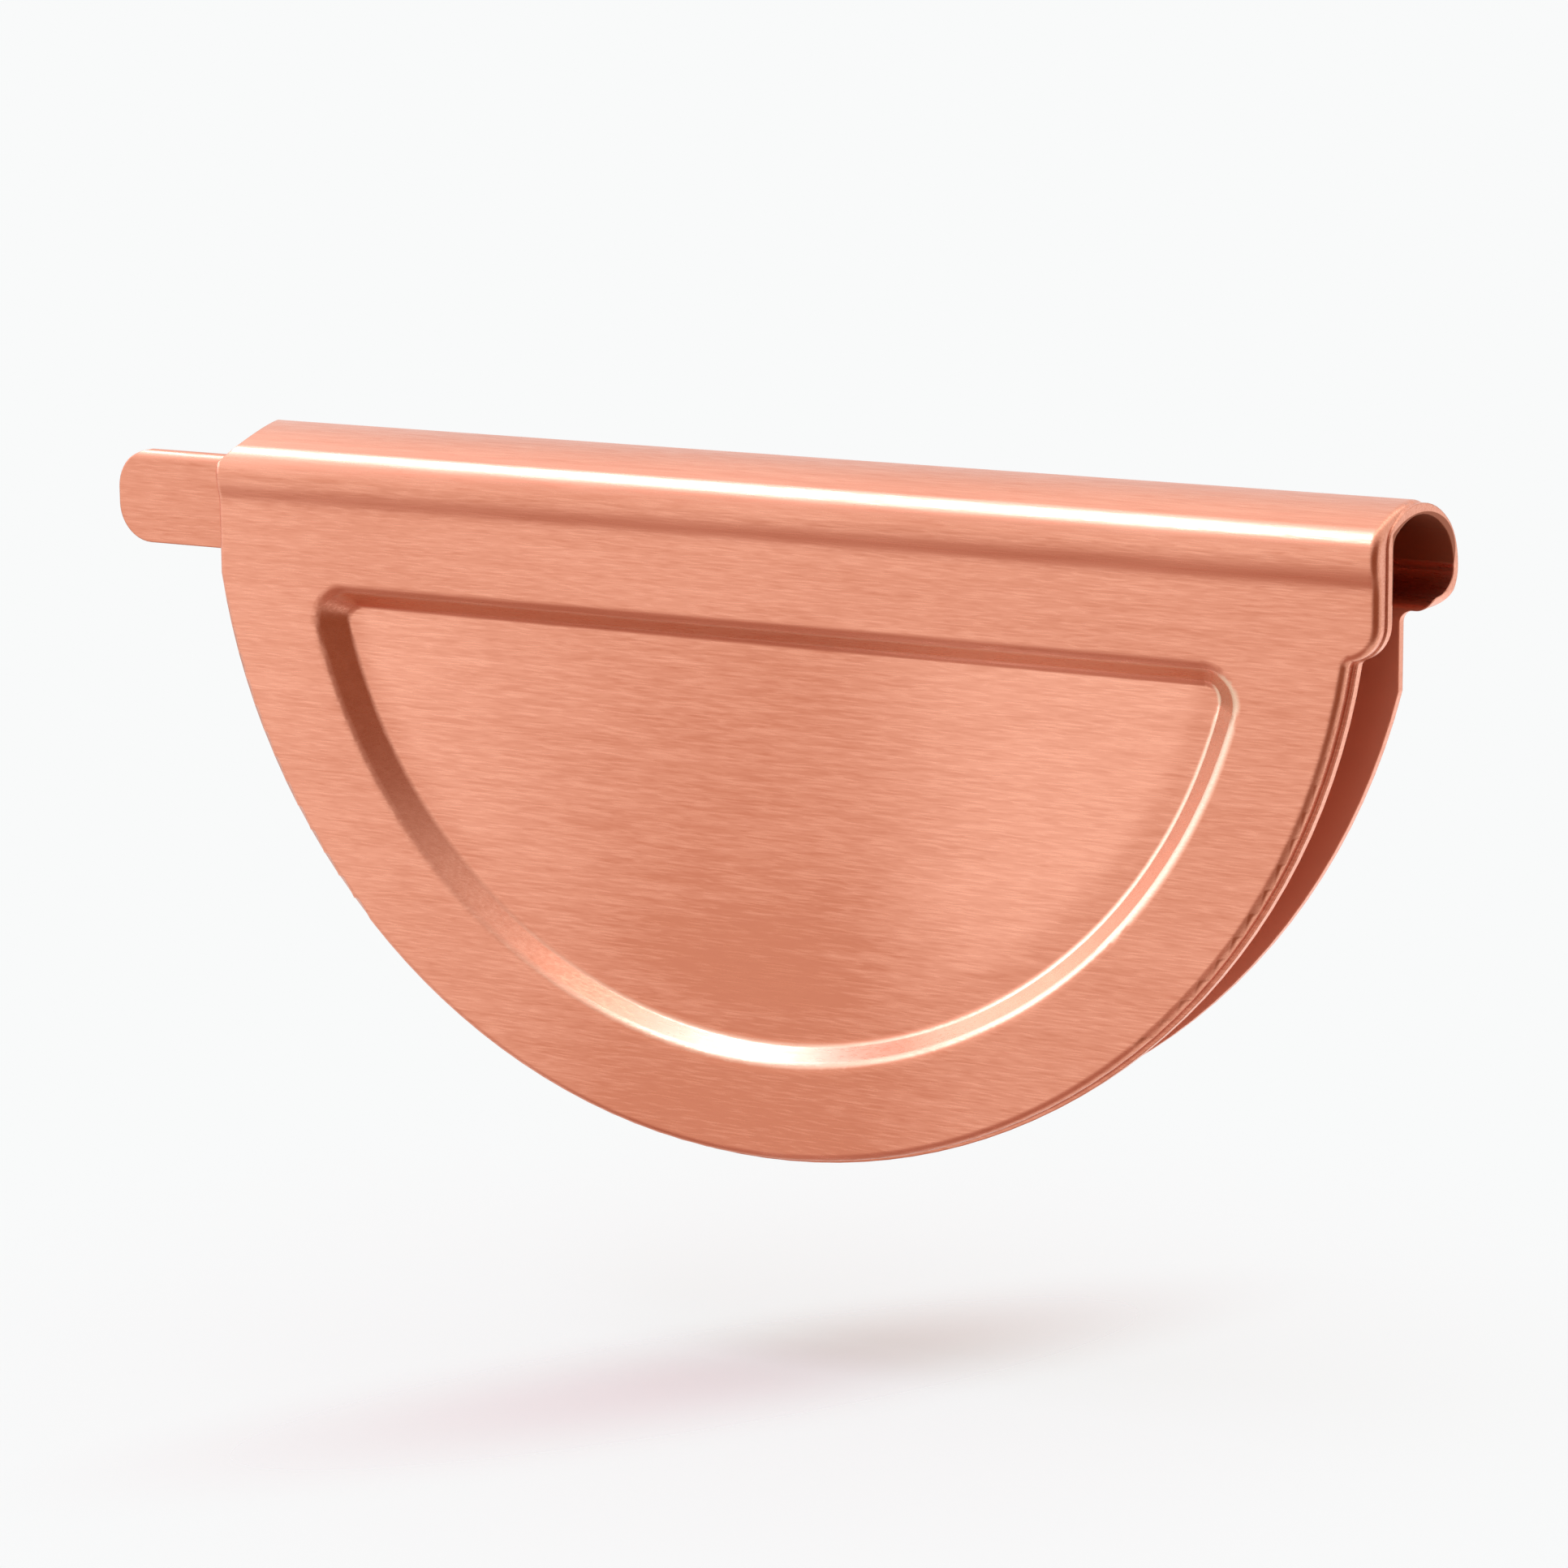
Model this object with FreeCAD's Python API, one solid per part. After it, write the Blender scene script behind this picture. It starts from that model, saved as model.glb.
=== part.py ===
"""Gutter end cap for a half-round gutter: one piece, pressed and folded from copper sheet.

Millimetres. X runs along the top edge to the right, the front faces -Y, Z points up.
The origin is the centre of the half-round rim, on the front of its lip.
The sheet is the outer form of the cap less the same form drawn inwards by the sheet.
"""

import FreeCAD
import Part
import math
import os

# Sheet and rim
sheet = 1.0                # thickness of the copper
rim_radius = 63.5          # half-round rim, for a gutter 127 mm across
lip_width = 0.4            # flat lip left outside the raised face
face_rise = 1.8            # the face stands this far in front of the lip
shoulder_radius = 0.8      # rounding where the face turns back to the lip
plate_depth = 10.5         # outside of the back plate, behind the lip

# Lobe at the right-hand end of the front
lobe_reach = 2.1           # the rolled tube ends this far past the rim
lobe_bottom = -9.4
lobe_corner = 3.6
lobe_lip = 0.15            # the lip is narrower along the lobe
face_inset = 1.2           # the raised face ends this far inside the rim, beside the tab
notch_radius = 0.7         # inside corner between a lobe and the rim

# Back plate: a slightly larger arc, drawn from a higher centre
rear_margin = 1.0          # its arc is this much larger than the rim
rear_centre = 2.15         # height of that centre
rear_side_inset = 0.95     # its sides are cut straight this far inside the rim
rear_lobe_bottom = -6.0
rear_lobe_corner = 1.5
rear_notch_radius = 1.2

# Rolled tube along the top edge
tube_top = 4.4             # top of the tube at its plain right-hand end
tube_top_y = 6.4           # depth at which the tube is highest
tube_spring = 0.9          # height at which the front starts to turn over
tube_rear = 15.7
tube_rear_z = -2.6         # height at which the tube reaches furthest back
tube_bottom = -5.8
neck_radius = 1.0          # inside bend between the tube and the back plate
tube_inset = 1.5           # the left-hand end is pressed shut this far inside the rim
tube_end_rounding = 2.0
pinch_slope = 0.85         # the closed end slopes up from the tab, per mm along X
pinch_turn = 0.27          # and per mm of depth

# Roll of the raised face over the tube
roll_front = -2.3          # foremost line of the roll
roll_front_z = 0.2
roll_top = 4.7
roll_blend = 3.2           # height over which the roll runs out into the face
roll_rear_inset = 3.0      # the raised part dips into the tube behind its top

# Recessed half-round panel
recess_band = 10.7         # width of the band left between the panel and the rim
recess_side = 0.5          # the panel sits this far to the right
recess_drop = 0.9          # and its arc is drawn from a lower centre
floor_drop = 1.1           # the arc of its floor is smaller and lower by this much more
recess_top = -10.7
recess_corner = 3.4
recess_depth = 2.3
recess_run = 1.8           # how far the sloping wall leans inwards at the top and the bottom
recess_shoulder = 1.5
recess_root = 0.8

# Flattened tab at the left-hand end
tab_length = 13.9
tab_top = 1.7
tab_bottom = -7.8
tab_corner_top = 4.0
tab_corner_bottom = 3.9
tab_seam = 0.2             # space left between the two layers

# Working sizes
face_y = -face_rise
raised_radius = rim_radius - lip_width
lobe_right = rim_radius + lobe_reach
face_left = face_inset - rim_radius
rear_radius = rim_radius + rear_margin
rear_half_width = rim_radius - rear_side_inset
tube_left = tube_inset - rim_radius
recess_radius = rim_radius - recess_band
tab_end = tube_left - tab_length
bend_y = plate_depth + neck_radius
seam_z = tab_bottom + 0.3
far = 90.0
split_y = 0.5 * plate_depth


def yz(y, z):
    return FreeCAD.Vector(0, y, z)


def xz(x, z, y=0.0):
    return FreeCAD.Vector(x, y, z)


def line(a, b):
    return Part.makeLine(a, b)


def arc(a, b, c):
    return Part.Arc(a, b, c).toShape()


def about(centre, first, second, radius):
    """An arc about a centre, from one unit direction to another."""
    middle = (first + second).normalize()
    return arc(centre + first * radius, centre + middle * radius, centre + second * radius)


def quarter(start, end, centre, inset):
    """A quarter of an oval between its two half-axes, as two arcs that meet smoothly.

    The arcs are drawn inwards by the inset, about the same centres.
    """
    ends = sorted((start - centre, end - centre), key=lambda half: half.Length)
    short = ends[0].Length
    long = ends[1].Length
    up = FreeCAD.Vector(ends[0]).normalize()
    out = FreeCAD.Vector(ends[1]).normalize()
    if long - short < 1e-6:
        return [about(centre, out, up, long - inset)]
    chord = math.hypot(long, short)
    tight = 0.5 * (chord - long + short) * chord / long
    wide = 0.5 * (chord + long - short) * chord / short
    tight_centre = centre + out * (long - tight)
    wide_centre = centre - up * (wide - short)
    join = (tight_centre - wide_centre).normalize()
    return [
        about(tight_centre, out, join, tight - inset),
        about(wide_centre, join, up, wide - inset),
    ]


def one_solid(shape):
    """The single solid in the result of a union or a cut."""
    if len(shape.Solids) != 1:
        raise ValueError("expected one solid, found %d" % len(shape.Solids))
    return shape.Solids[0]


def box(x0, x1, y0, y1, z0, z1):
    corner = FreeCAD.Vector(x0, y0, z0)
    return Part.makeBox(x1 - x0, y1 - y0, z1 - z0, corner)


def is_wall(face):
    """True for a face that stands square to the front, such as an outline wall."""
    u0, u1, v0, v1 = face.ParameterRange
    for share in (0.25, 0.75):
        normal = face.normalAt(u0 + share * (u1 - u0), v0 + share * (v1 - v0))
        if abs(normal.y) > 1e-4:
            return False
    return True


def along(edge):
    """Five points spread along an edge."""
    first, last = edge.ParameterRange
    return [edge.valueAt(first + 0.25 * step * (last - first)) for step in range(5)]


def edges_parallel_y(shape):
    found = []
    for edge in shape.Edges:
        run = edge.Vertexes[-1].Point - edge.Vertexes[0].Point
        if edge.Curve.TypeId == "Part::GeomLine" and abs(run.y) > 0.9 * edge.Length:
            found.append(edge)
    return found


def outline(radius, centre, side, right, bottom, corner, notch, y0, y1):
    """A disc with a round-cornered lobe at its upper right, as a block along Y."""
    middle = FreeCAD.Vector(0, y0, centre)
    disc = Part.makeCylinder(radius, y1 - y0, middle, FreeCAD.Vector(0, 1, 0))
    if side < radius:
        disc = disc.common(box(-side, side, y0, y1, -far, far))
    lobe = box(30.0, right, y0, y1, bottom, 20.0)
    for edge in edges_parallel_y(lobe):
        point = edge.Vertexes[0].Point
        if point.x > right - 0.1 and point.z < bottom + 0.1:
            lobe = lobe.makeFillet(corner, [edge])
            break
    block = one_solid(disc.fuse(lobe).removeSplitter())
    inside = []
    for edge in edges_parallel_y(block):
        point = edge.Vertexes[0].Point
        on_disc = abs(math.hypot(point.x, point.z - centre) - radius) < 1e-3
        on_side = abs(point.x - side) < 1e-3
        near = abs(point.z - bottom) < corner + 0.5
        if (on_disc or on_side) and near and 0 < point.x < right - 0.5:
            inside.append(edge)
    if inside:
        block = block.makeFillet(notch, inside)
    return block


def head(inset):
    """The rolled tube with the top of both plates, down to the seam line."""
    front = inset
    plate = plate_depth - inset
    neck_z = tube_bottom - neck_radius
    neck = yz(bend_y, neck_z)
    low = seam_z - inset
    crown = yz(tube_top_y, tube_top)
    rear = yz(tube_rear, tube_rear_z)
    edges = [
        line(yz(front, low), yz(front, tube_spring)),
        about(neck, yz(0, 1), yz(-1, 0), neck_radius + inset),
        line(yz(plate, neck_z), yz(plate, low)),
        line(yz(plate, low), yz(front, low)),
    ]
    edges += quarter(yz(0, tube_spring), crown, yz(tube_top_y, tube_spring), inset)
    edges += quarter(crown, rear, yz(tube_top_y, tube_rear_z), inset)
    edges += quarter(rear, yz(bend_y, tube_bottom), yz(bend_y, tube_rear_z), inset)
    start = tube_left + inset
    end = lobe_right + 5.0
    wire = Part.Wire(Part.__sortEdges__(edges))
    wire.translate(FreeCAD.Vector(start, 0, 0))
    body = Part.Face(wire).extrude(FreeCAD.Vector(end - start, 0, 0))
    ends = []
    for edge in body.Edges:
        points = along(edge)
        on_end = max(point.x for point in points) < start + 1e-3
        on_seam = max(point.z for point in points) < low + 1e-3
        if on_end and not on_seam:
            ends.append(edge)
    return body.makeFillet(tube_end_rounding - inset, ends)


def roll_edges(inset):
    """Front of the raised face in section: flat face, roll, then over the top."""
    face = face_y + inset
    front = roll_front + inset
    rise = face_y - roll_front
    turn = 2.0 * math.atan(rise / roll_blend)
    total = roll_blend / math.sin(turn)
    convex = 0.6 * total - inset
    concave = 0.4 * total + inset
    join_y = front + convex * (1 - math.cos(turn))
    join_z = roll_front_z - convex * math.sin(turn)
    half_y = front + convex * (1 - math.cos(turn / 2))
    half_z = roll_front_z - convex * math.sin(turn / 2)
    foot_z = roll_front_z - roll_blend
    low_y = face - concave * (1 - math.cos(turn / 2))
    low_z = foot_z + concave * math.sin(turn / 2)
    crown = yz(tube_top_y, roll_top)
    rear_y = tube_rear - roll_rear_inset
    edges = [
        line(yz(face, -far), yz(face, foot_z)),
        arc(yz(face, foot_z), yz(low_y, low_z), yz(join_y, join_z)),
        arc(yz(join_y, join_z), yz(half_y, half_z), yz(front, roll_front_z)),
        line(yz(rear_y - inset, tube_rear_z), yz(split_y, tube_rear_z)),
        line(yz(split_y, tube_rear_z), yz(split_y, -far)),
        line(yz(split_y, -far), yz(face, -far)),
    ]
    edges += quarter(yz(roll_front, roll_front_z), crown, yz(tube_top_y, roll_front_z), inset)
    edges += quarter(crown, yz(rear_y, tube_rear_z), yz(tube_top_y, tube_rear_z), inset)
    return edges


def raised_face(inset):
    """The raised face with its roll over the tube, cut to its outline."""
    wire = Part.Wire(Part.__sortEdges__(roll_edges(inset)))
    wire.translate(FreeCAD.Vector(-far, 0, 0))
    bar = Part.Face(wire).extrude(FreeCAD.Vector(2 * far, 0, 0))
    block = outline(
        raised_radius - inset,
        0,
        far,
        lobe_right - lobe_lip - inset,
        lobe_bottom + lobe_lip + inset,
        lobe_corner - lobe_lip - inset,
        notch_radius + lobe_lip + inset,
        -10.0,
        25.0,
    )
    block = block.cut(box(-far, face_left + inset, -20, 30, -far, far))
    body = one_solid(bar.common(block).removeSplitter())
    rounding = shoulder_radius - inset
    if rounding < 0.15:
        return body
    rim = []
    for edge in body.Edges:
        faces = body.ancestorsOfType(edge, Part.Face)
        if len(faces) != 2 or is_wall(faces[0]) == is_wall(faces[1]):
            continue
        points = along(edge)
        behind = all(abs(point.y - split_y) < 1e-3 for point in points)
        level = all(abs(point.z - points[0].z) < 1e-3 for point in points)
        if not behind and not level:
            rim.append(edge)
    return body.makeFillet(rounding, rim)


def recess_wire(inset, lower, y):
    """Outline of the half-round panel, with round corners at its top.

    It is drawn inwards by an inset, with an arc that is smaller and lower by a further amount.
    """
    radius = recess_radius - inset - lower
    drop = recess_drop + lower
    corner = recess_corner - inset
    top = recess_top - inset
    centre_z = top - corner
    rise = centre_z + drop
    centre_x = math.sqrt((radius - corner) ** 2 - rise ** 2)
    scale = radius / (radius - corner)
    turn = math.atan2(rise, centre_x)
    middle = 0.5 * (turn + math.pi / 2)
    mid_x = centre_x + corner * math.cos(middle)
    mid_z = centre_z + corner * math.sin(middle)
    side_x = centre_x * scale
    side_z = rise * scale - drop
    edges = [
        line(xz(-centre_x, top, y), xz(centre_x, top, y)),
        arc(xz(centre_x, top, y), xz(mid_x, mid_z, y), xz(side_x, side_z, y)),
        arc(xz(side_x, side_z, y), xz(0, -radius - drop, y), xz(-side_x, side_z, y)),
        arc(xz(-side_x, side_z, y), xz(-mid_x, mid_z, y), xz(-centre_x, top, y)),
    ]
    wire = Part.Wire(edges)
    wire.translate(FreeCAD.Vector(recess_side, 0, 0))
    return wire


def recess_tool(inset):
    """The pocket for the panel, with sloping walls and a rounded root."""
    slant = math.hypot(recess_run, recess_depth)
    grow = inset * (slant - recess_run) / recess_depth
    lean = recess_run / recess_depth
    front = face_y + inset
    outer = recess_wire(-grow - lean, -floor_drop / recess_depth, front - 1.0)
    inner = recess_wire(recess_run - grow, floor_drop, front + recess_depth)
    tool = Part.makeLoft([outer, inner], True, True)
    root = []
    for edge in tool.Edges:
        if min(point.y for point in along(edge)) > front + recess_depth - 1e-3:
            root.append(edge)
    return tool.makeFillet(recess_root + inset, root)


def press_recess(body, inset):
    """Press the panel into a body and round the shoulder around it."""
    front = face_y + inset
    body = one_solid(body.cut(recess_tool(inset)))
    rounding = recess_shoulder - inset
    if rounding < 0.15:
        return body
    centre = xz(recess_side, -recess_drop, front)
    rim = []
    for edge in body.Edges:
        points = along(edge)
        on_face = all(abs(point.y - front) < 1e-3 for point in points)
        near = all(point.distanceToPoint(centre) < recess_radius + 1.5 for point in points)
        below = all(point.z < recess_top + 1.5 for point in points)
        if on_face and near and below:
            rim.append(edge)
    return body.makeFillet(rounding, rim)


def pinch(inset):
    """A block above the slope that runs from the tab's folded edge to the tube's top."""
    normal = FreeCAD.Vector(-pinch_slope, -pinch_turn, 1.0).normalize()
    root = FreeCAD.Vector(tube_left, 0.0, tab_top) - normal * inset
    block = Part.makeBox(60, 60, 60, FreeCAD.Vector(-30, -30, 0))
    block.Placement = FreeCAD.Placement(root, FreeCAD.Rotation(FreeCAD.Vector(0, 0, 1), normal))
    return block


def filled_form(inset):
    """The whole cap as a filled form, drawn inwards by an inset."""
    skirt = box(-far, far, inset, plate_depth - inset, -far, seam_z)
    form = one_solid(head(inset).fuse([skirt, raised_face(inset)]).removeSplitter())
    form = one_solid(form.cut(pinch(inset)))
    return press_recess(form, inset)


def blank():
    """Outline of the sheet seen from the front, for the front and for the back."""
    front = outline(rim_radius, 0, far, lobe_right, lobe_bottom, lobe_corner, notch_radius, -8.0, split_y)
    back = outline(
        rear_radius,
        rear_centre,
        rear_half_width,
        lobe_right,
        rear_lobe_bottom,
        rear_lobe_corner,
        rear_notch_radius,
        split_y,
        25.0,
    )
    return front.fuse(back)


def tab():
    """The tube end pressed flat: two layers folded along the top edge."""
    thick = 2 * sheet + tab_seam
    right = tube_left + 0.4
    fold = 0.5 * thick
    edges = [
        line(yz(0, tab_bottom), yz(0, tab_top - fold)),
        arc(yz(0, tab_top - fold), yz(fold, tab_top), yz(thick, tab_top - fold)),
        line(yz(thick, tab_top - fold), yz(thick, tab_bottom)),
        line(yz(thick, tab_bottom), yz(0, tab_bottom)),
    ]
    wire = Part.Wire(edges)
    wire.translate(FreeCAD.Vector(tab_end, 0, 0))
    body = Part.Face(wire).extrude(FreeCAD.Vector(right - tab_end, 0, 0))
    seam = box(tab_end - 1, tube_left - 0.8, sheet, sheet + tab_seam, tab_bottom - 1, tab_top - sheet)
    return body.cut(seam).common(tab_outline(thick))


def tab_outline(thick):
    """Rounded end of the tab, seen from the front."""
    top = tab_top + 0.5
    r1 = tab_corner_top
    r2 = tab_corner_bottom
    slope = math.sqrt(0.5)
    right = tube_left + 1.0
    upper = xz(tab_end + r1, tab_top - r1)
    lower = xz(tab_end + r2, tab_bottom + r2)
    edges = [
        line(xz(right, tab_bottom), xz(right, top)),
        line(xz(right, top), xz(tab_end + r1, top)),
        line(xz(tab_end + r1, top), xz(tab_end + r1, tab_top)),
        arc(
            xz(tab_end + r1, tab_top),
            upper + xz(-r1 * slope, r1 * slope),
            xz(tab_end, tab_top - r1),
        ),
        line(xz(tab_end, tab_top - r1), xz(tab_end, tab_bottom + r2)),
        arc(
            xz(tab_end, tab_bottom + r2),
            lower + xz(-r2 * slope, -r2 * slope),
            xz(tab_end + r2, tab_bottom),
        ),
        line(xz(tab_end + r2, tab_bottom), xz(right, tab_bottom)),
    ]
    return Part.Face(Part.Wire(edges)).extrude(FreeCAD.Vector(0, thick + 1, 0))


def end_cap():
    outer = filled_form(0).common(blank())
    inner = filled_form(sheet)
    cap = outer.cut(inner)
    cap = cap.fuse(tab())
    return one_solid(cap.removeSplitter())


def main():
    os.makedirs("parts", exist_ok=True)
    shape = end_cap()
    print("solids", len(shape.Solids), "valid", shape.isValid(), "volume", round(shape.Volume, 1))
    shape.exportStep("parts/end_cap.step")


main()
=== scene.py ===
"""Finish, light and camera for a gutter end cap pressed and folded from copper sheet.

Metres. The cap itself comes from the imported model; this file gives it its copper and its stage.
"""

import math
from collections import namedtuple

import bmesh
import bpy
from mathutils import Matrix, Vector


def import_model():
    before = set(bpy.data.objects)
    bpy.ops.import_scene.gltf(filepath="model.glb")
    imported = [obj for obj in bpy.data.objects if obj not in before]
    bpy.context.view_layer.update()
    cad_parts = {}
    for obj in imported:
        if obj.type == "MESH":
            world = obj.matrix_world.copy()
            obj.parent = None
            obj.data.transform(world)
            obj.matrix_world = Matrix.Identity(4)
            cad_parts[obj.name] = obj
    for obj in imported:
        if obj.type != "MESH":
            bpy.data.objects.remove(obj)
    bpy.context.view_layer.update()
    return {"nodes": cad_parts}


bl_info = {
    "name": "Gutter End Cap",
    "version": (1, 0, 0),
    "blender": (4, 5, 0),
    "location": "3D View > Sidebar > End Cap",
    "description": "Brushed copper and a pale studio for a half-round gutter end cap",
    "category": "Object",
}

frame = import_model()

MM = 0.001

# Where a mask changes, measured from the origin: the centre of the half-round rim, on its lip
Span = namedtuple("Span", "start end")
SHEET_BACK_Y = Span(0.75 * MM, 1.0 * MM)
FRONT_SHEET_Y = Span(3.0 * MM, 5.0 * MM)
BACK_PLATE_Y = Span(9.6 * MM, 9.9 * MM)
TUBE_UNDERSIDE_Z = Span(-6.0 * MM, -5.0 * MM)
WALL_TOP_Z = Span(-9.6 * MM, -9.0 * MM)
WALL_RADIUS = Span(56.5 * MM, 57.5 * MM)
PANEL_TOP_Z = Span(-12.0 * MM, -10.0 * MM)
PANEL_RADIUS = Span(47.0 * MM, 50.0 * MM)
PANEL_LEFT_X = Span(-44.0 * MM, -8.0 * MM)
PANEL_RIGHT_X = Span(4.0 * MM, 30.0 * MM)
TAB_JOINT_X = Span(-61.6 * MM, -61.4 * MM)
TAB_SHADE_X = Span(-62.2 * MM, -61.4 * MM)
LEFT_BAND_X = Span(-60.0 * MM, -36.0 * MM)

# Painted shade round the bottom of the cap: the copper is drawn darker there
SHADE_BOTTOM_POINT = (0.0, 0.0, -62.0 * MM)
SHADE_BOTTOM_RADIUS = Span(10.0 * MM, 34.0 * MM)

# The bore of the tube is an oval in the YZ plane, and its edge is a share of its size
BORE_CENTRE_Y = 6.7 * MM
BORE_CENTRE_Z = -0.9 * MM
BORE_HALF_DEPTH = 8.4 * MM
BORE_HALF_HEIGHT = 4.5 * MM
BORE_EDGE = Span(0.98, 1.0)

# Where the surface normal, along X or Z, tells which way the pressed wall faces, and so where its
# painted highlight and painted shade go
FACES_LEFT_X = Span(-0.35, -0.15)
FACES_DOWN_Z = Span(-0.75, -0.55)
FACES_UP_Z = Span(0.3, 0.5)
FACES_RIGHT_X = Span(0.15, 0.4)
STEEP_X = Span(-0.85, -0.15)
LOWER_WALL_SHARE = 0.4

# Long streaks and soft patches in the copper, beside the fine grain
STREAK_LENGTH = 14.0 * MM
STREAK_WIDTH = 0.7 * MM
PATCH_LENGTH = 30.0 * MM
PATCH_HEIGHT = 12.0 * MM

# Tone runs from 0, the deep copper, to 1, the light one
BASE_TONE = -0.4
GRAIN_SHARE = 0.9
STREAK_SHARE = 0.5
PATCH_SHARE = 0.3
# Painted light and shade by place: the panel drawn darker in its middle and lighter at its sides
PANEL_MIDDLE_SHADE = -0.2
LEFT_SIDE_SHARE = 0.8
# Painted light on a band at the left of the face, and painted shade on the tab
LEFT_BAND_LIGHT = 0.14
TAB_PAINTED_SHADE = -0.2

# The copper is rougher where the grain is dark, and smoother where it is light
GRAIN_RANGE = Span(0.3, 0.7)
DARK_GRAIN_ROUGH = 0.36
LIGHT_GRAIN_ROUGH = 0.26
BUMP_STRENGTH = 0.5
BEVEL_SAMPLES = 6

# The covers are how much of the backdrop the floor and the card on it hide at their middles; the
# grey card, thickest in an oval under the cap, is a painted shadow
FLOOR_RADIUS = 9.0
FLOOR_SIDES = 96
FLOOR_COVER = 0.3
FLOOR_FADE_START = 0.35
SHADOW_COVER = 0.7
SHADOW_CENTRE_X = -2.5 * MM
SHADOW_CENTRE_Y = -10.0 * MM

KEY_PLACE = (-0.855, -0.324, 1.55)
KEY_SIZE = (1.3, 0.45)
STRIP_PLACE = (0.06, 0.12, 0.55)
STRIP_SIZE = (0.2, 1.4)
STRIP_TURN = math.radians(-24.0)

# Parts of the room that the copper mirrors: the direction of each from the cap, the angles from
# it, in degrees, at which the part is still whole and has gone, and what it adds to the strength
RoomPart = namedtuple("RoomPart", "direction whole gone extra")
RIGHT_CARD = RoomPart((0.83, -0.57, 0.0), 29.0, 63.0, 0.0)
LOW_CARD = RoomPart((-0.22, -0.5, -0.84), 20.0, 42.0, 0.0)
LEFT_LIGHT = RoomPart((-0.89, -0.37, 0.2), 7.0, 19.0, 1.7)
HIGH_LEFT_LIGHT = RoomPart((-0.82, -0.33, 0.47), 7.0, 19.0, 2.4)
FRONT_LIGHT = RoomPart((-0.5, -0.83, -0.12), 18.0, 44.0, 0.1)
TOP_LIGHT = RoomPart((-0.5, 0.3, 0.8), 12.0, 38.0, 0.2)
BACK_LIGHT = RoomPart((0.2, 0.85, -0.48), 12.0, 28.0, 0.35)
ROOM_STRENGTH = 1.0

# The camera, as fitted to the rim, the straight top edge and the panel in the photograph
CAMERA_TURN = math.radians(30.4718)
CAMERA_RISE = math.radians(11.1991)
CAMERA_ROLL = math.radians(-0.45885)
CAMERA_DISTANCE = 0.502908
AIM_RIGHT = 0.0027018
AIM_DOWN = 0.025826
SENSOR_WIDTH = 36.0
NEAREST_SEEN = 0.01
FARTHEST_SEEN = 50.0


def hex_colour(code):
    """Linear red, green, blue and alpha from an sRGB hex code."""
    channels = []
    for start in (0, 2, 4):
        value = int(code[start : start + 2], 16) / 255.0
        if value <= 0.04045:
            channels.append(value / 12.92)
        else:
            channels.append(((value + 0.055) / 1.055) ** 2.4)
    return (*channels, 1.0)


def colour_property(name, description, code):
    """A colour setting, from an sRGB hex code."""
    return bpy.props.FloatVectorProperty(
        name=name,
        description=description,
        subtype="COLOR",
        size=4,
        min=0.0,
        max=1.0,
        default=hex_colour(code),
    )


def length_property(name, description, smallest, default):
    """A length setting in metres."""
    return bpy.props.FloatProperty(
        name=name,
        description=description,
        subtype="DISTANCE",
        unit="LENGTH",
        min=smallest,
        default=default,
    )


def factor_property(name, description, default):
    """A setting from nothing to full."""
    return bpy.props.FloatProperty(
        name=name,
        description=description,
        subtype="FACTOR",
        min=0.0,
        max=1.0,
        default=default,
    )


def power_property(name, description, default):
    """The power of a lamp in watts."""
    return bpy.props.FloatProperty(
        name=name,
        description=description,
        unit="POWER",
        min=0.0,
        default=default,
    )


class CopperSettings(bpy.types.PropertyGroup):
    """Colours and brush marks of the copper sheet."""

    light_colour: colour_property(
        "Light copper",
        "Where the brush left the sheet bright",
        "FAB094",
    )
    # Deep copper is the colour of the brush marks, and also the painted shade in the middle of the
    # panel and at the bottom of the cap
    deep_colour: colour_property(
        "Deep copper",
        "In the brush marks and in the duller middle of the sheet",
        "D48467",
    )
    # Painted shade: the bore of the tube takes a deeper copper than the sheet outside
    bore_shade_colour: colour_property(
        "Bore copper",
        "In the bore of the tube, where the sheet has dulled",
        "B06A4E",
    )
    # Painted highlight: a pale colour on the pressed wall round the panel; painted shade: a darker
    # one where the wall stands steepest
    wall_highlight: colour_property(
        "Pale wall",
        "On the pressed wall round the panel, where the die rubbed the sheet bright",
        "F3CBAF",
    )
    wall_shade: colour_property(
        "Steep wall",
        "On that wall where it stands steepest, on the right of the panel",
        "BC8E73",
    )
    grain_length: length_property(
        "Grain length",
        "Length of one brush mark along the sheet",
        0.001,
        2.6 * MM,
    )
    grain_width: length_property(
        "Grain width",
        "Width of one brush mark",
        0.00005,
        0.2 * MM,
    )
    grain_depth: length_property(
        "Grain depth",
        "Depth of the brush marks",
        0.0,
        0.01 * MM,
    )
    inside_rough: factor_property(
        "Inside roughness",
        "Roughness of the inner faces, which the brush has not reached",
        0.62,
    )
    # Painted light: how much lighter the colour is drawn at the panel's sides than in its middle
    painted_side_light: factor_property(
        "Bright sides",
        "How much lighter the colour is at the sides of the panel than in its middle",
        0.6,
    )
    # Painted shade: how much deeper the colour is drawn towards the bottom of the cap
    painted_bottom_shade: factor_property(
        "Dull bottom",
        "How much deeper the colour is at the bottom of the cap than at its top",
        0.42,
    )
    edge_round: length_property(
        "Edge rounding",
        "Rounding of the cut edges, which catches the light",
        0.0,
        0.2 * MM,
    )


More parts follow.
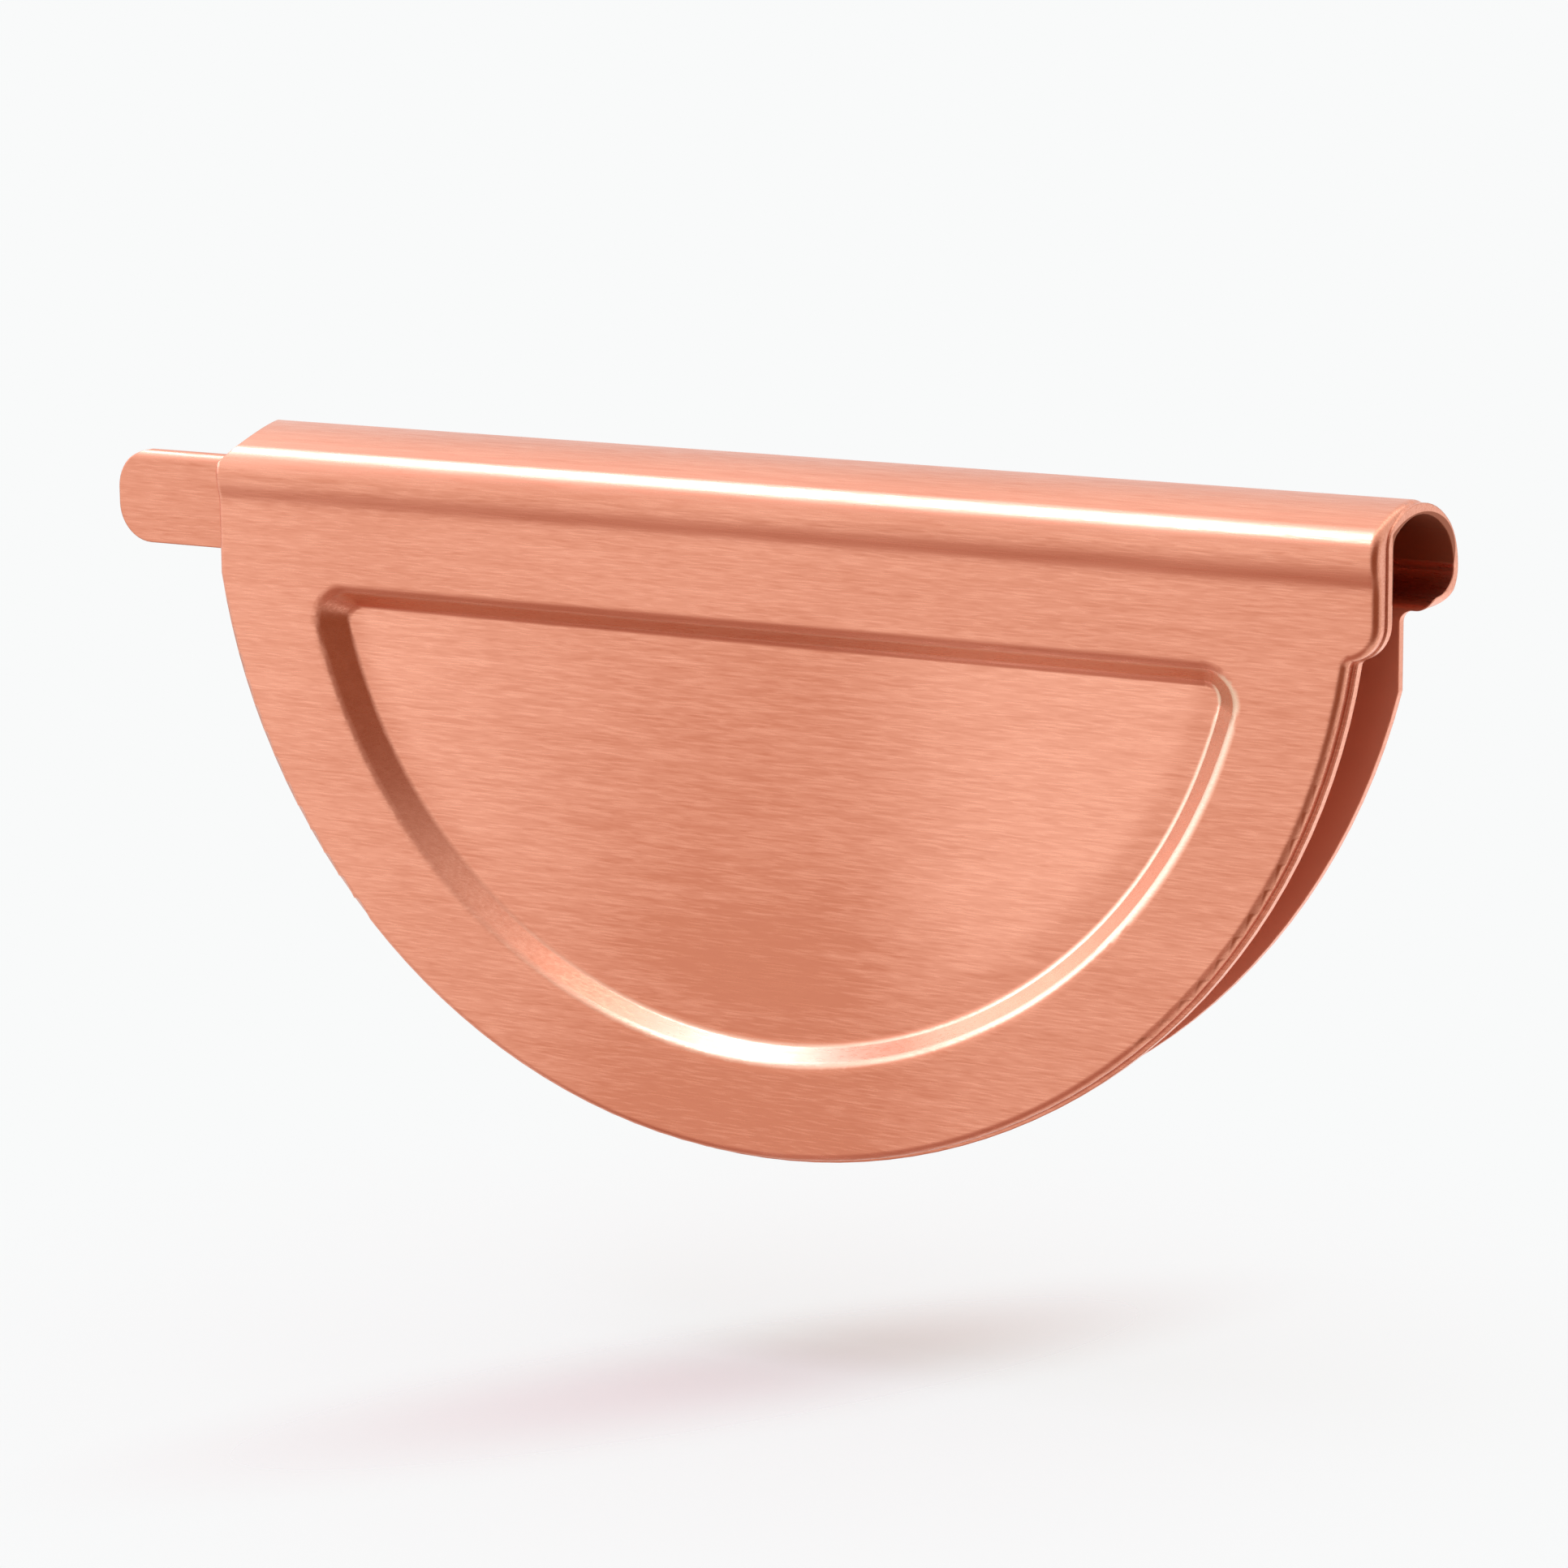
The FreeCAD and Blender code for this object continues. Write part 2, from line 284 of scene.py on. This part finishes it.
class StageSettings(bpy.types.PropertyGroup):
    """Floor, lights and camera."""

    floor_height: bpy.props.FloatProperty(
        name="Floor height",
        description="Height of the floor; the cap hangs above it",
        subtype="DISTANCE",
        unit="LENGTH",
        default=-84.0 * MM,
    )
    # Painted shadow: the floor's grey colour shows most in the oval under the cap
    floor_and_shadow_colour: colour_property(
        "Floor",
        "Colour of the floor",
        "D9CCC6",
    )
    floor_fade: length_property(
        "Floor fade",
        "Radius at which the floor has faded out into the backdrop",
        0.01,
        0.14,
    )
    # The oval of the painted shadow under the cap: its half length, half width and turn
    shadow_length: length_property(
        "Card length",
        "Half the length over which the card under the cap fades out",
        0.001,
        78.0 * MM,
    )
    shadow_width: length_property(
        "Card width",
        "Half the width over which the card under the cap fades out",
        0.001,
        20.0 * MM,
    )
    shadow_turn: bpy.props.FloatProperty(
        name="Card turn",
        description="Angle between the card's length and the width of the cap",
        subtype="ANGLE",
        unit="ROTATION",
        default=math.radians(59.0),
    )
    key: power_property(
        "Key lamp",
        "Power of the lamp above on the left that draws the white line on the roll",
        18.0,
    )
    key_colour: colour_property(
        "Key colour",
        "Colour of the key lamp, a cool white",
        "C8DCFF",
    )
    strip: power_property(
        "Strip lamp",
        "Power of the long lamp above, which casts the soft shadow",
        1.0,
    )
    room_colour: colour_property(
        "Room",
        "Colour of the room round the cap, which is the backdrop too",
        "F9FAFA",
    )
    right_card: colour_property(
        "Right-hand card",
        "Colour of the dark card on the right in front",
        "94674F",
    )
    left_colour: colour_property(
        "Left light",
        "Colour of the two soft lights on the left, which draw the line round the panel",
        "E4ECFF",
    )
    low_card: colour_property(
        "Low card",
        "Colour of the dark card low in front",
        "B58878",
    )
    lens: bpy.props.FloatProperty(
        name="Lens",
        description="Focal length of the camera on a 36 mm sensor",
        subtype="DISTANCE_CAMERA",
        min=10.0,
        default=121.12,
    )


def add_node(tree, kind, settings, inputs):
    """Add a node with its settings, and set or link its inputs."""
    made = tree.nodes.new(kind)
    for name, value in settings.items():
        setattr(made, name, value)
    for name, value in inputs.items():
        socket = made.inputs[name]
        if isinstance(value, bpy.types.NodeSocket):
            tree.links.new(value, socket)
        else:
            socket.default_value = value
    return made


def new_material(name):
    """An empty node material."""
    material = bpy.data.materials.new(name)
    material.use_nodes = True
    material.node_tree.nodes.clear()
    return material


def finish_material(material, shader):
    """Link a shader to the output of a material."""
    add_node(material.node_tree, "ShaderNodeOutputMaterial", {}, {"Surface": shader.outputs[0]})


def math_node(tree, operation, *values):
    """The result of one operation on single values."""
    inputs = dict(enumerate(values))
    return add_node(tree, "ShaderNodeMath", {"operation": operation}, inputs).outputs[0]


def vector_node(tree, operation, *vectors):
    """The single value that an operation on vectors gives."""
    inputs = dict(enumerate(vectors))
    made = add_node(tree, "ShaderNodeVectorMath", {"operation": operation}, inputs)
    return made.outputs["Value"]


def times(tree, first, *others):
    """The product of masks."""
    for other in others:
        first = math_node(tree, "MULTIPLY", first, other)
    return first


def larger(tree, first, *others):
    """The largest of some masks."""
    for other in others:
        first = math_node(tree, "MAXIMUM", first, other)
    return first


def sum_of(tree, parts):
    """The sum of values, each with its own weight."""
    total = 0.0
    for value, weight in parts:
        total = math_node(tree, "MULTIPLY_ADD", value, weight, total)
    return total


def ramp(tree, value, span, first, second):
    """A smooth change from one value to another while the input crosses a span."""
    made = add_node(
        tree,
        "ShaderNodeMapRange",
        {"interpolation_type": "SMOOTHSTEP"},
        {
            "Value": value,
            "From Min": span.start,
            "From Max": span.end,
            "To Min": first,
            "To Max": second,
        },
    )
    return made.outputs[0]


def before(tree, value, span):
    """One until the input reaches a span, and nothing past it."""
    return ramp(tree, value, span, 1.0, 0.0)


def past(tree, value, span):
    """Nothing until the input reaches a span, and one past it."""
    return ramp(tree, value, span, 0.0, 1.0)


def blend(tree, mask, first, second):
    """The first colour, or the second where the mask is one; sockets 6 and 7 take colours."""
    made = add_node(tree, "ShaderNodeMix", {"data_type": "RGBA"}, {0: mask, 6: first, 7: second})
    return made.outputs[2]


def blend_value(tree, mask, first, second):
    """The first value, or the second where the mask is one; sockets 2 and 3 take values."""
    made = add_node(tree, "ShaderNodeMix", {"data_type": "FLOAT"}, {0: mask, 2: first, 3: second})
    return made.outputs[0]


def noise(tree, place, along, across, detail, distortion):
    """Noise with cells of a given length along X and a given width across it."""
    sized = add_node(
        tree,
        "ShaderNodeMapping",
        {},
        {"Vector": place, "Scale": (1.0 / along, 1.0 / across, 1.0 / across)},
    )
    made = add_node(
        tree,
        "ShaderNodeTexNoise",
        {},
        {
            "Vector": sized.outputs[0],
            "Scale": 1.0,
            "Detail": detail,
            "Roughness": 0.5,
            "Distortion": distortion,
        },
    )
    return made.outputs[0]


class Surface:
    """Where a point of the cap lies and which way it faces."""

    def __init__(self, tree):
        source = add_node(tree, "ShaderNodeTexCoord", {}, {})
        self.place = source.outputs["Object"]
        self.axes = add_node(tree, "ShaderNodeSeparateXYZ", {}, {"Vector": self.place}).outputs
        normal = source.outputs["Normal"]
        self.facing = add_node(tree, "ShaderNodeSeparateXYZ", {}, {"Vector": normal}).outputs
        x, z = self.axes["X"], self.axes["Z"]
        self.front_view = add_node(tree, "ShaderNodeCombineXYZ", {}, {"X": x, "Z": z}).outputs[0]
        self.radius = vector_node(tree, "LENGTH", self.front_view)


def slot_and_bore(tree, surface):
    """Two masks: one on the faces between the two plates, and one in the bore of the tube."""
    behind = past(tree, surface.axes["Y"], SHEET_BACK_Y)
    past_tab = past(tree, surface.axes["X"], TAB_JOINT_X)
    between = before(tree, surface.axes["Y"], BACK_PLATE_Y)
    under = before(tree, surface.axes["Z"], TUBE_UNDERSIDE_Z)
    slot = times(tree, behind, between, under, past_tab)

    middle_y = -BORE_CENTRE_Y / BORE_HALF_DEPTH
    middle_z = -BORE_CENTRE_Z / BORE_HALF_HEIGHT
    deep = sum_of(tree, [(surface.axes["Y"], 1.0 / BORE_HALF_DEPTH), (middle_y, 1.0)])
    high = sum_of(tree, [(surface.axes["Z"], 1.0 / BORE_HALF_HEIGHT), (middle_z, 1.0)])
    oval = add_node(tree, "ShaderNodeCombineXYZ", {}, {"X": deep, "Y": high}).outputs[0]
    bore = before(tree, vector_node(tree, "LENGTH", oval), BORE_EDGE)
    return slot, times(tree, bore, behind, past_tab)


def painted_wall_light(tree, surface, settings):
    """The wall above, below and to the right of the panel: its mask, and its colour, a painted
    highlight that turns to painted shade where the wall faces furthest left.
    """
    to_left = before(tree, surface.facing["X"], FACES_LEFT_X)
    downwards = before(tree, surface.facing["Z"], FACES_DOWN_Z)
    upwards = ramp(tree, surface.facing["Z"], FACES_UP_Z, 0.0, LOWER_WALL_SHARE)
    upwards = times(tree, upwards, before(tree, surface.facing["X"], FACES_RIGHT_X))
    wall = larger(tree, to_left, downwards, upwards)
    near = before(tree, surface.radius, WALL_RADIUS)
    below = before(tree, surface.axes["Z"], WALL_TOP_Z)
    # Painted shade where the wall faces furthest to the left, painted highlight on the rest of it
    steep = before(tree, surface.facing["X"], STEEP_X)
    colour = blend(tree, steep, settings.wall_highlight, settings.wall_shade)
    return times(tree, wall, near, below), colour


def copper_tone(tree, surface, grain, settings):
    """How light the copper is: by its marks, and by its place on the cap, where it is painted
    light and shade.
    """
    place = surface.place
    streaks = noise(tree, place, STREAK_LENGTH, STREAK_WIDTH, detail=1.0, distortion=0.6)
    patches = noise(tree, place, PATCH_LENGTH, PATCH_HEIGHT, detail=1.0, distortion=0.2)

    # Painted light and shade: the panel is drawn lighter towards its sides and darker in its
    # middle, and the whole cap darker towards its bottom
    disc = before(tree, surface.radius, PANEL_RADIUS)
    under = before(tree, surface.axes["Z"], PANEL_TOP_Z)
    on_front = before(tree, surface.axes["Y"], FRONT_SHEET_Y)
    panel = times(tree, disc, under, on_front)
    left_bright = LEFT_SIDE_SHARE * settings.painted_side_light
    left = ramp(tree, surface.axes["X"], PANEL_LEFT_X, left_bright, 0.0)
    right = ramp(tree, surface.axes["X"], PANEL_RIGHT_X, 0.0, settings.painted_side_light)
    sides = sum_of(tree, [(left, 1.0), (right, 1.0), (PANEL_MIDDLE_SHADE, 1.0)])
    # Painted shade: the copper is drawn darker towards the bottom of the cap
    from_bottom = vector_node(tree, "DISTANCE", surface.front_view, SHADE_BOTTOM_POINT)
    bottom = ramp(tree, from_bottom, SHADE_BOTTOM_RADIUS, -settings.painted_bottom_shade, 0.0)
    # Painted light: a band at the left of the face is drawn lighter; painted shade: the tab is
    # drawn darker, taking the band back
    left_band_light = ramp(tree, surface.axes["X"], LEFT_BAND_X, LEFT_BAND_LIGHT, 0.0)
    tab_shade = ramp(tree, surface.axes["X"], TAB_SHADE_X, TAB_PAINTED_SHADE, 0.0)

    return sum_of(
        tree,
        [
            (grain, GRAIN_SHARE),
            (streaks, STREAK_SHARE),
            (patches, PATCH_SHARE),
            (times(tree, sides, panel), 1.0),
            (bottom, 1.0),
            (left_band_light, 1.0),
            (tab_shade, 1.0),
            (BASE_TONE, 1.0),
        ],
    )


def brushed_copper(settings):
    """Copper sheet brushed along its width: a bright, slightly pink metal.

    Fine marks run along the cap and blur what it mirrors. The colour is lighter at the sides of
    the panel and deeper at the bottom of the cap, as painted light and shade. The pressed wall
    takes a painted highlight and painted shade, the gap between the plates the light copper as
    painted light, and the bore a deeper copper as painted shade; the faces inside the cap are
    dull.
    """
    material = new_material("brushed_copper")
    tree = material.node_tree
    surface = Surface(tree)
    grain = noise(
        tree,
        surface.place,
        settings.grain_length,
        settings.grain_width,
        detail=2.0,
        distortion=0.5,
    )
    tone = copper_tone(tree, surface, grain, settings)
    colour = blend(tree, tone, settings.deep_colour, settings.light_colour)
    wall, wall_light_and_shade = painted_wall_light(tree, surface, settings)
    slot, bore = slot_and_bore(tree, surface)
    for mask, part in (
        # The pressed wall takes its painted highlight and painted shade
        (wall, wall_light_and_shade),
        # Painted light: the gap between the plates takes the light copper, so that it renders
        # brighter than its shade
        (slot, settings.light_colour),
        # Painted shade: a deeper copper in the bore of the tube
        (bore, settings.bore_shade_colour),
    ):
        colour = blend(tree, mask, colour, part)

    gloss = ramp(tree, grain, GRAIN_RANGE, DARK_GRAIN_ROUGH, LIGHT_GRAIN_ROUGH)
    rough = blend_value(tree, larger(tree, slot, bore), gloss, settings.inside_rough)
    soft_edge = add_node(
        tree, "ShaderNodeBevel", {"samples": BEVEL_SAMPLES}, {"Radius": settings.edge_round}
    )
    marks = add_node(
        tree,
        "ShaderNodeBump",
        {},
        {
            "Strength": BUMP_STRENGTH,
            "Distance": settings.grain_depth,
            "Height": grain,
            "Normal": soft_edge.outputs[0],
        },
    )
    shader = add_node(
        tree,
        "ShaderNodeBsdfPrincipled",
        {},
        {"Base Color": colour, "Metallic": 1.0, "Roughness": rough, "Normal": marks.outputs[0]},
    )
    finish_material(material, shader)
    return material


def paper_floor(settings):
    """Matt grey card under the cap that fades out into the white backdrop; laid thickest in a long
    oval under the cap, it is a painted shadow.
    """
    material = new_material("card_with_painted_shadow")
    tree = material.node_tree
    card = add_node(
        tree,
        "ShaderNodeBsdfPrincipled",
        {},
        {"Base Color": settings.floor_and_shadow_colour, "Roughness": 1.0, "Specular IOR Level": 0.0},
    )
    place = add_node(tree, "ShaderNodeTexCoord", {}, {}).outputs["Object"]
    fade = Span(FLOOR_FADE_START * settings.floor_fade, settings.floor_fade)
    wide = ramp(tree, vector_node(tree, "LENGTH", place), fade, FLOOR_COVER, 0.0)
    turned = add_node(
        tree,
        "ShaderNodeMapping",
        {"vector_type": "TEXTURE"},
        {
            "Vector": place,
            "Location": (SHADOW_CENTRE_X, SHADOW_CENTRE_Y, settings.floor_height),
            "Rotation": (0.0, 0.0, settings.shadow_turn),
            "Scale": (settings.shadow_length, settings.shadow_width, 1.0),
        },
    ).outputs[0]
    # Painted shadow: the grey card in a long oval under the cap
    painted_shadow = ramp(tree, vector_node(tree, "LENGTH", turned), Span(0.0, 1.0), SHADOW_COVER, 0.0)
    cover = sum_of(tree, [(wide, 1.0), (painted_shadow, 1.0)])
    clear = add_node(tree, "ShaderNodeBsdfTransparent", {}, {})
    faded = add_node(
        tree, "ShaderNodeMixShader", {}, {0: cover, 1: clear.outputs[0], 2: card.outputs[0]}
    )
    finish_material(material, faded)
    return material


def link_object(name, data):
    """A new object in the scene."""
    made = bpy.data.objects.new(name, data)
    bpy.context.scene.collection.objects.link(made)
    return made


def make_floor(settings):
    """A large round floor below the cap."""
    shape = bmesh.new()
    bmesh.ops.create_circle(shape, cap_ends=True, segments=FLOOR_SIDES, radius=FLOOR_RADIUS)
    bmesh.ops.translate(shape, vec=(0.0, 0.0, settings.floor_height), verts=shape.verts)
    data = bpy.data.meshes.new("floor")
    shape.to_mesh(data)
    shape.free()
    floor = link_object("floor", data)
    floor.data.materials.append(paper_floor(settings))


def make_lamp(name, place, size, power, colour):
    """A soft rectangular lamp, which faces down until it is turned."""
    lamp = bpy.data.lights.new(name, "AREA")
    lamp.shape = "RECTANGLE"
    lamp.size, lamp.size_y = size
    lamp.energy = power
    lamp.color = colour[:3]
    made = link_object(name, lamp)
    made.location = place
    return made


def make_lamps(settings):
    """The key lamp, turned towards the cap, and the long strip lamp, which faces straight down."""
    key = make_lamp("key", KEY_PLACE, KEY_SIZE, settings.key, settings.key_colour)
    key.rotation_euler = (-Vector(KEY_PLACE)).to_track_quat("-Z", "Y").to_euler()
    strip = make_lamp("strip", STRIP_PLACE, STRIP_SIZE, settings.strip, settings.room_colour)
    strip.rotation_euler = (0.0, 0.0, STRIP_TURN)


def towards(tree, direction, part):
    """One in the directions where a part of the room is whole, and nothing where it is gone."""
    aim = Vector(part.direction).normalized()
    dot = vector_node(tree, "DOT_PRODUCT", direction, tuple(aim))
    fade = Span(math.cos(math.radians(part.gone)), math.cos(math.radians(part.whole)))
    return past(tree, dot, fade)


def make_room(settings):
    """A bright studio room: white all round, with two dark cards and five soft lights.

    One card stands on the right and one low in front. The lights are two on the left, one in
    front, one above the back of the cap and one low behind it, which draws the cut edges. The
    camera itself sees only the plain room.
    """
    world = bpy.data.worlds.new("studio")
    bpy.context.scene.world = world
    world.use_nodes = True
    tree = world.node_tree
    tree.nodes.clear()
    direction = add_node(tree, "ShaderNodeTexCoord", {}, {}).outputs["Generated"]
    left = towards(tree, direction, LEFT_LIGHT)
    high_left = towards(tree, direction, HIGH_LEFT_LIGHT)
    colour = settings.room_colour
    for mask, part_colour in (
        (towards(tree, direction, RIGHT_CARD), settings.right_card),
        (towards(tree, direction, LOW_CARD), settings.low_card),
        (left, settings.left_colour),
        (high_left, settings.left_colour),
    ):
        colour = blend(tree, mask, colour, part_colour)
    strength = sum_of(
        tree,
        [
            (left, LEFT_LIGHT.extra),
            (high_left, HIGH_LEFT_LIGHT.extra),
            (towards(tree, direction, FRONT_LIGHT), FRONT_LIGHT.extra),
            (towards(tree, direction, TOP_LIGHT), TOP_LIGHT.extra),
            (towards(tree, direction, BACK_LIGHT), BACK_LIGHT.extra),
            (ROOM_STRENGTH, 1.0),
        ],
    )
    seen = add_node(tree, "ShaderNodeLightPath", {}, {}).outputs["Is Camera Ray"]
    colour = blend(tree, seen, colour, settings.room_colour)
    strength = blend_value(tree, seen, strength, ROOM_STRENGTH)
    light = add_node(tree, "ShaderNodeBackground", {}, {"Color": colour, "Strength": strength})
    add_node(tree, "ShaderNodeOutputWorld", {}, {"Surface": light.outputs[0]})


def make_camera(settings):
    """The camera at the photograph's angle: 30.5 degrees round to the right, 11.2 degrees up."""
    turn, rise, roll = CAMERA_TURN, CAMERA_RISE, CAMERA_ROLL
    back = Vector(
        (math.sin(turn) * math.cos(rise), -math.cos(turn) * math.cos(rise), math.sin(rise))
    )
    level_right = Vector((math.cos(turn), math.sin(turn), 0.0))
    level_up = back.cross(level_right)
    right = level_right * math.cos(roll) + level_up * math.sin(roll)
    up = level_up * math.cos(roll) - level_right * math.sin(roll)
    place = right * AIM_RIGHT - up * AIM_DOWN + back * CAMERA_DISTANCE
    lens = bpy.data.cameras.new("camera")
    lens.lens = settings.lens
    lens.sensor_width = SENSOR_WIDTH
    lens.clip_start = NEAREST_SEEN
    lens.clip_end = FARTHEST_SEEN
    camera = link_object("camera", lens)
    axes = Matrix((right, up, back)).transposed()
    camera.matrix_world = Matrix.Translation(place) @ axes.to_4x4()
    bpy.context.scene.camera = camera


class ENDCAP_OT_finish_cap(bpy.types.Operator):
    """Give the cap its brushed copper"""

    bl_idname = "endcap.finish_cap"
    bl_label = "Finish Cap"

    def execute(self, context):
        cap = frame["nodes"]["end_cap"]
        cap.data.materials.clear()
        cap.data.materials.append(brushed_copper(context.scene.endcap_copper))
        return {"FINISHED"}


class ENDCAP_OT_stage(bpy.types.Operator):
    """Make the floor, the lights and the camera"""

    bl_idname = "endcap.stage"
    bl_label = "Make Stage"

    def execute(self, context):
        settings = context.scene.endcap_stage
        make_floor(settings)
        make_room(settings)
        make_lamps(settings)
        make_camera(settings)
        context.scene.view_settings.view_transform = "Standard"
        return {"FINISHED"}


class ENDCAP_PT_panel(bpy.types.Panel):
    """Sizes and colours of the end cap"""

    bl_idname = "ENDCAP_PT_panel"
    bl_label = "End Cap"
    bl_space_type = "VIEW_3D"
    bl_region_type = "UI"
    bl_category = "End Cap"

    def draw(self, context):
        layout = self.layout
        for group, operator in (
            (context.scene.endcap_copper, ENDCAP_OT_finish_cap),
            (context.scene.endcap_stage, ENDCAP_OT_stage),
        ):
            box = layout.box()
            for name in group.bl_rna.properties.keys():
                if name not in ("rna_type", "name"):
                    box.prop(group, name)
            box.operator(operator.bl_idname)


classes = (
    CopperSettings,
    StageSettings,
    ENDCAP_OT_finish_cap,
    ENDCAP_OT_stage,
    ENDCAP_PT_panel,
)


def register():
    for item in classes:
        bpy.utils.register_class(item)
    bpy.types.Scene.endcap_copper = bpy.props.PointerProperty(type=CopperSettings)
    bpy.types.Scene.endcap_stage = bpy.props.PointerProperty(type=StageSettings)


def unregister():
    del bpy.types.Scene.endcap_stage
    del bpy.types.Scene.endcap_copper
    for item in reversed(classes):
        bpy.utils.unregister_class(item)


def main():
    """Make everything."""
    register()
    bpy.ops.endcap.finish_cap()
    bpy.ops.endcap.stage()
    bpy.context.view_layer.update()


if __name__ == "__main__":
    main()
